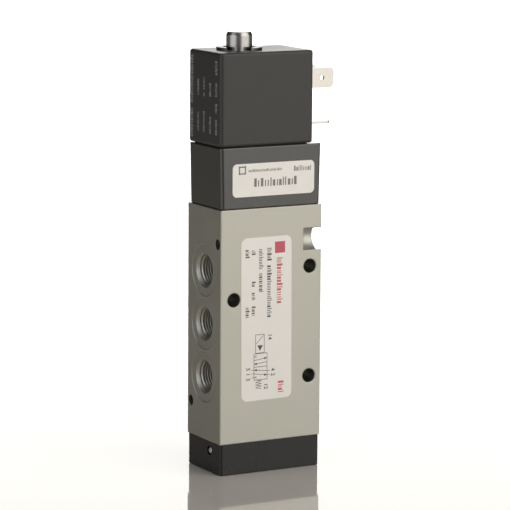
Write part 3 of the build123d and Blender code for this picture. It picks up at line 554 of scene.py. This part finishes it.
# Pale rating lines on the coil's left face, read from bottom to top
coil_low, coil_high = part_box("coil_housing")
coil_origin = Vector((coil_low.x, 0, (coil_low.z + coil_high.z) / 2))
coil_lines = []
for y, height, words in (
    (8.5, 1.7, ((-12.8, -3.4), (-2.2, 12.4))),
    (4.3, 1.1, ((-10.6, -4.8), (0.6, 5.4))),
    (0.5, 1.1, ((-10.6, -4.1), (0.5, 1.8), (2.6, 6.5))),
    (-3.6, 1.2, ((-10.7, -5.3), (0.7, 5.1))),
    (-7.5, 1.5, ((-10.8, -5.9), (-4.1, -1.3), (1.0, 5.4), (7.7, 11.9))),
):
    for start, end in words:
        coil_lines += text_hatch(rng, start, end, height, y)
print_piece("coil_rating_lines", coil_lines, coil_origin, (0, 0, 1), (0, 1, 0), pale_ink)


# ---------------------------------------------------------------- floor, light and camera

def aim(azimuth, elevation):
    """Unit vector of a compass direction: azimuth from +Y towards +X, in degrees."""
    a, e = math.radians(azimuth), math.radians(elevation)
    return Vector((math.sin(a) * math.cos(e), math.cos(a) * math.cos(e), math.sin(e)))


# The room's own level and tint, then the light cards: azimuth, elevation, half angle of the full core,
# half angle of the soft edge, brightness and tint
ROOM = (0.045, (0.94, 0.98, 1.0))
CARDS = (
    (30, 17, 9, 19, 2.75, (1.0, 0.99, 0.97)),
    (152, 16, 26, 48, 1.66, (1.0, 0.975, 0.93)),
    (264, 10, 14, 38, 1.22, (0.95, 0.975, 1.02)),
    (170, 82, 15, 45, 0.6, (1.0, 0.99, 0.97)),
)


def studio_world():
    """White to the camera; to everything else a dim room with a few soft light cards."""
    world = bpy.data.worlds.new("studio")
    world.use_nodes = True
    tree = world.node_tree
    tree.nodes.clear()
    direction = add(tree, "ShaderNodeTexCoord").outputs["Generated"]
    level, tint = ROOM
    light = add(tree, "ShaderNodeBackground", {"Color": tint + (1.0,), "Strength": level}).outputs[0]
    for azimuth, elevation, inner, outer, level, tint in CARDS:
        facing = add(tree, "ShaderNodeVectorMath", {0: direction, 1: tuple(aim(azimuth, elevation))},
                     operation="DOT_PRODUCT").outputs["Value"]
        edge = add(tree, "ShaderNodeMapRange", {
            "Value": facing,
            "From Min": math.cos(math.radians(outer)),
            "From Max": math.cos(math.radians(inner)),
            "To Min": 0.0,
            "To Max": level,
        }, interpolation_type="SMOOTHSTEP").outputs[0]
        card = add(tree, "ShaderNodeBackground", {"Color": tint + (1.0,), "Strength": edge}).outputs[0]
        light = add(tree, "ShaderNodeAddShader", {0: light, 1: card}).outputs[0]
    seen = add(tree, "ShaderNodeBackground", {"Color": (1.0, 1.0, 1.0, 1.0), "Strength": 1.0})
    ray = add(tree, "ShaderNodeLightPath").outputs["Is Camera Ray"]
    both = add(tree, "ShaderNodeMixShader", {0: ray, 1: light, 2: seen.outputs[0]})
    add(tree, "ShaderNodeOutputWorld", {"Surface": both.outputs[0]})
    return world


bpy.context.scene.world = studio_world()


FLOOR_RADIUS = 6.0
FLOOR_COLOUR = (0.64, 0.605, 0.55, 1.0)
FLOOR_IOR = 1.5


def floor_piece():
    """Glossy pale table top."""
    bpy.ops.mesh.primitive_circle_add(vertices=96, radius=FLOOR_RADIUS, fill_type="NGON", location=(0, 0, 0))
    floor = bpy.context.object
    floor.name = "floor"
    made = bpy.data.materials.new("white_gloss_table")
    made.use_nodes = True
    tree = made.node_tree
    tree.nodes.clear()
    place = add(tree, "ShaderNodeTexCoord").outputs["Object"]
    sheen = spread(tree, noise(tree, place, 9.0), 0.045, 0.06)
    matt = add(tree, "ShaderNodeBsdfDiffuse", {"Color": FLOOR_COLOUR})
    gloss = add(tree, "ShaderNodeBsdfGlossy", {"Color": (1.0, 1.0, 1.0, 1.0), "Roughness": sheen})
    share = add(tree, "ShaderNodeFresnel", {"IOR": FLOOR_IOR}).outputs[0]
    both = add(tree, "ShaderNodeMixShader", {0: share, 1: matt.outputs[0], 2: gloss.outputs[0]})
    add(tree, "ShaderNodeOutputMaterial", {"Surface": both.outputs[0]})
    floor.data.materials.append(made)
    return floor


floor_piece()


CAMERA_PLACE = Vector((-413.94, -753.96, 205.61)) * MM
CAMERA_YAW, CAMERA_PITCH, CAMERA_ROLL = 28.778, 9.142, 0.387
CAMERA_LENS = 195.58


def studio_camera():
    """Long lens at the front left, a little above the valve."""
    yaw, pitch, roll = (math.radians(angle) for angle in (CAMERA_YAW, CAMERA_PITCH, CAMERA_ROLL))
    forward = Vector((math.sin(yaw) * math.cos(pitch), math.cos(yaw) * math.cos(pitch), -math.sin(pitch)))
    level_right = Vector((math.cos(yaw), -math.sin(yaw), 0))
    level_up = level_right.cross(forward)
    right = level_right * math.cos(roll) + level_up * math.sin(roll)
    up = level_up * math.cos(roll) - level_right * math.sin(roll)
    data = bpy.data.cameras.new("camera")
    data.sensor_width = 36.0
    data.lens = CAMERA_LENS
    camera = bpy.data.objects.new("camera", data)
    turn = Matrix((right, up, -forward)).transposed().to_4x4()
    camera.matrix_world = Matrix.Translation(CAMERA_PLACE) @ turn
    bpy.context.scene.collection.objects.link(camera)
    bpy.context.scene.camera = camera


studio_camera()
bpy.context.scene.view_settings.view_transform = "Standard"
bpy.context.scene.view_settings.look = "None"
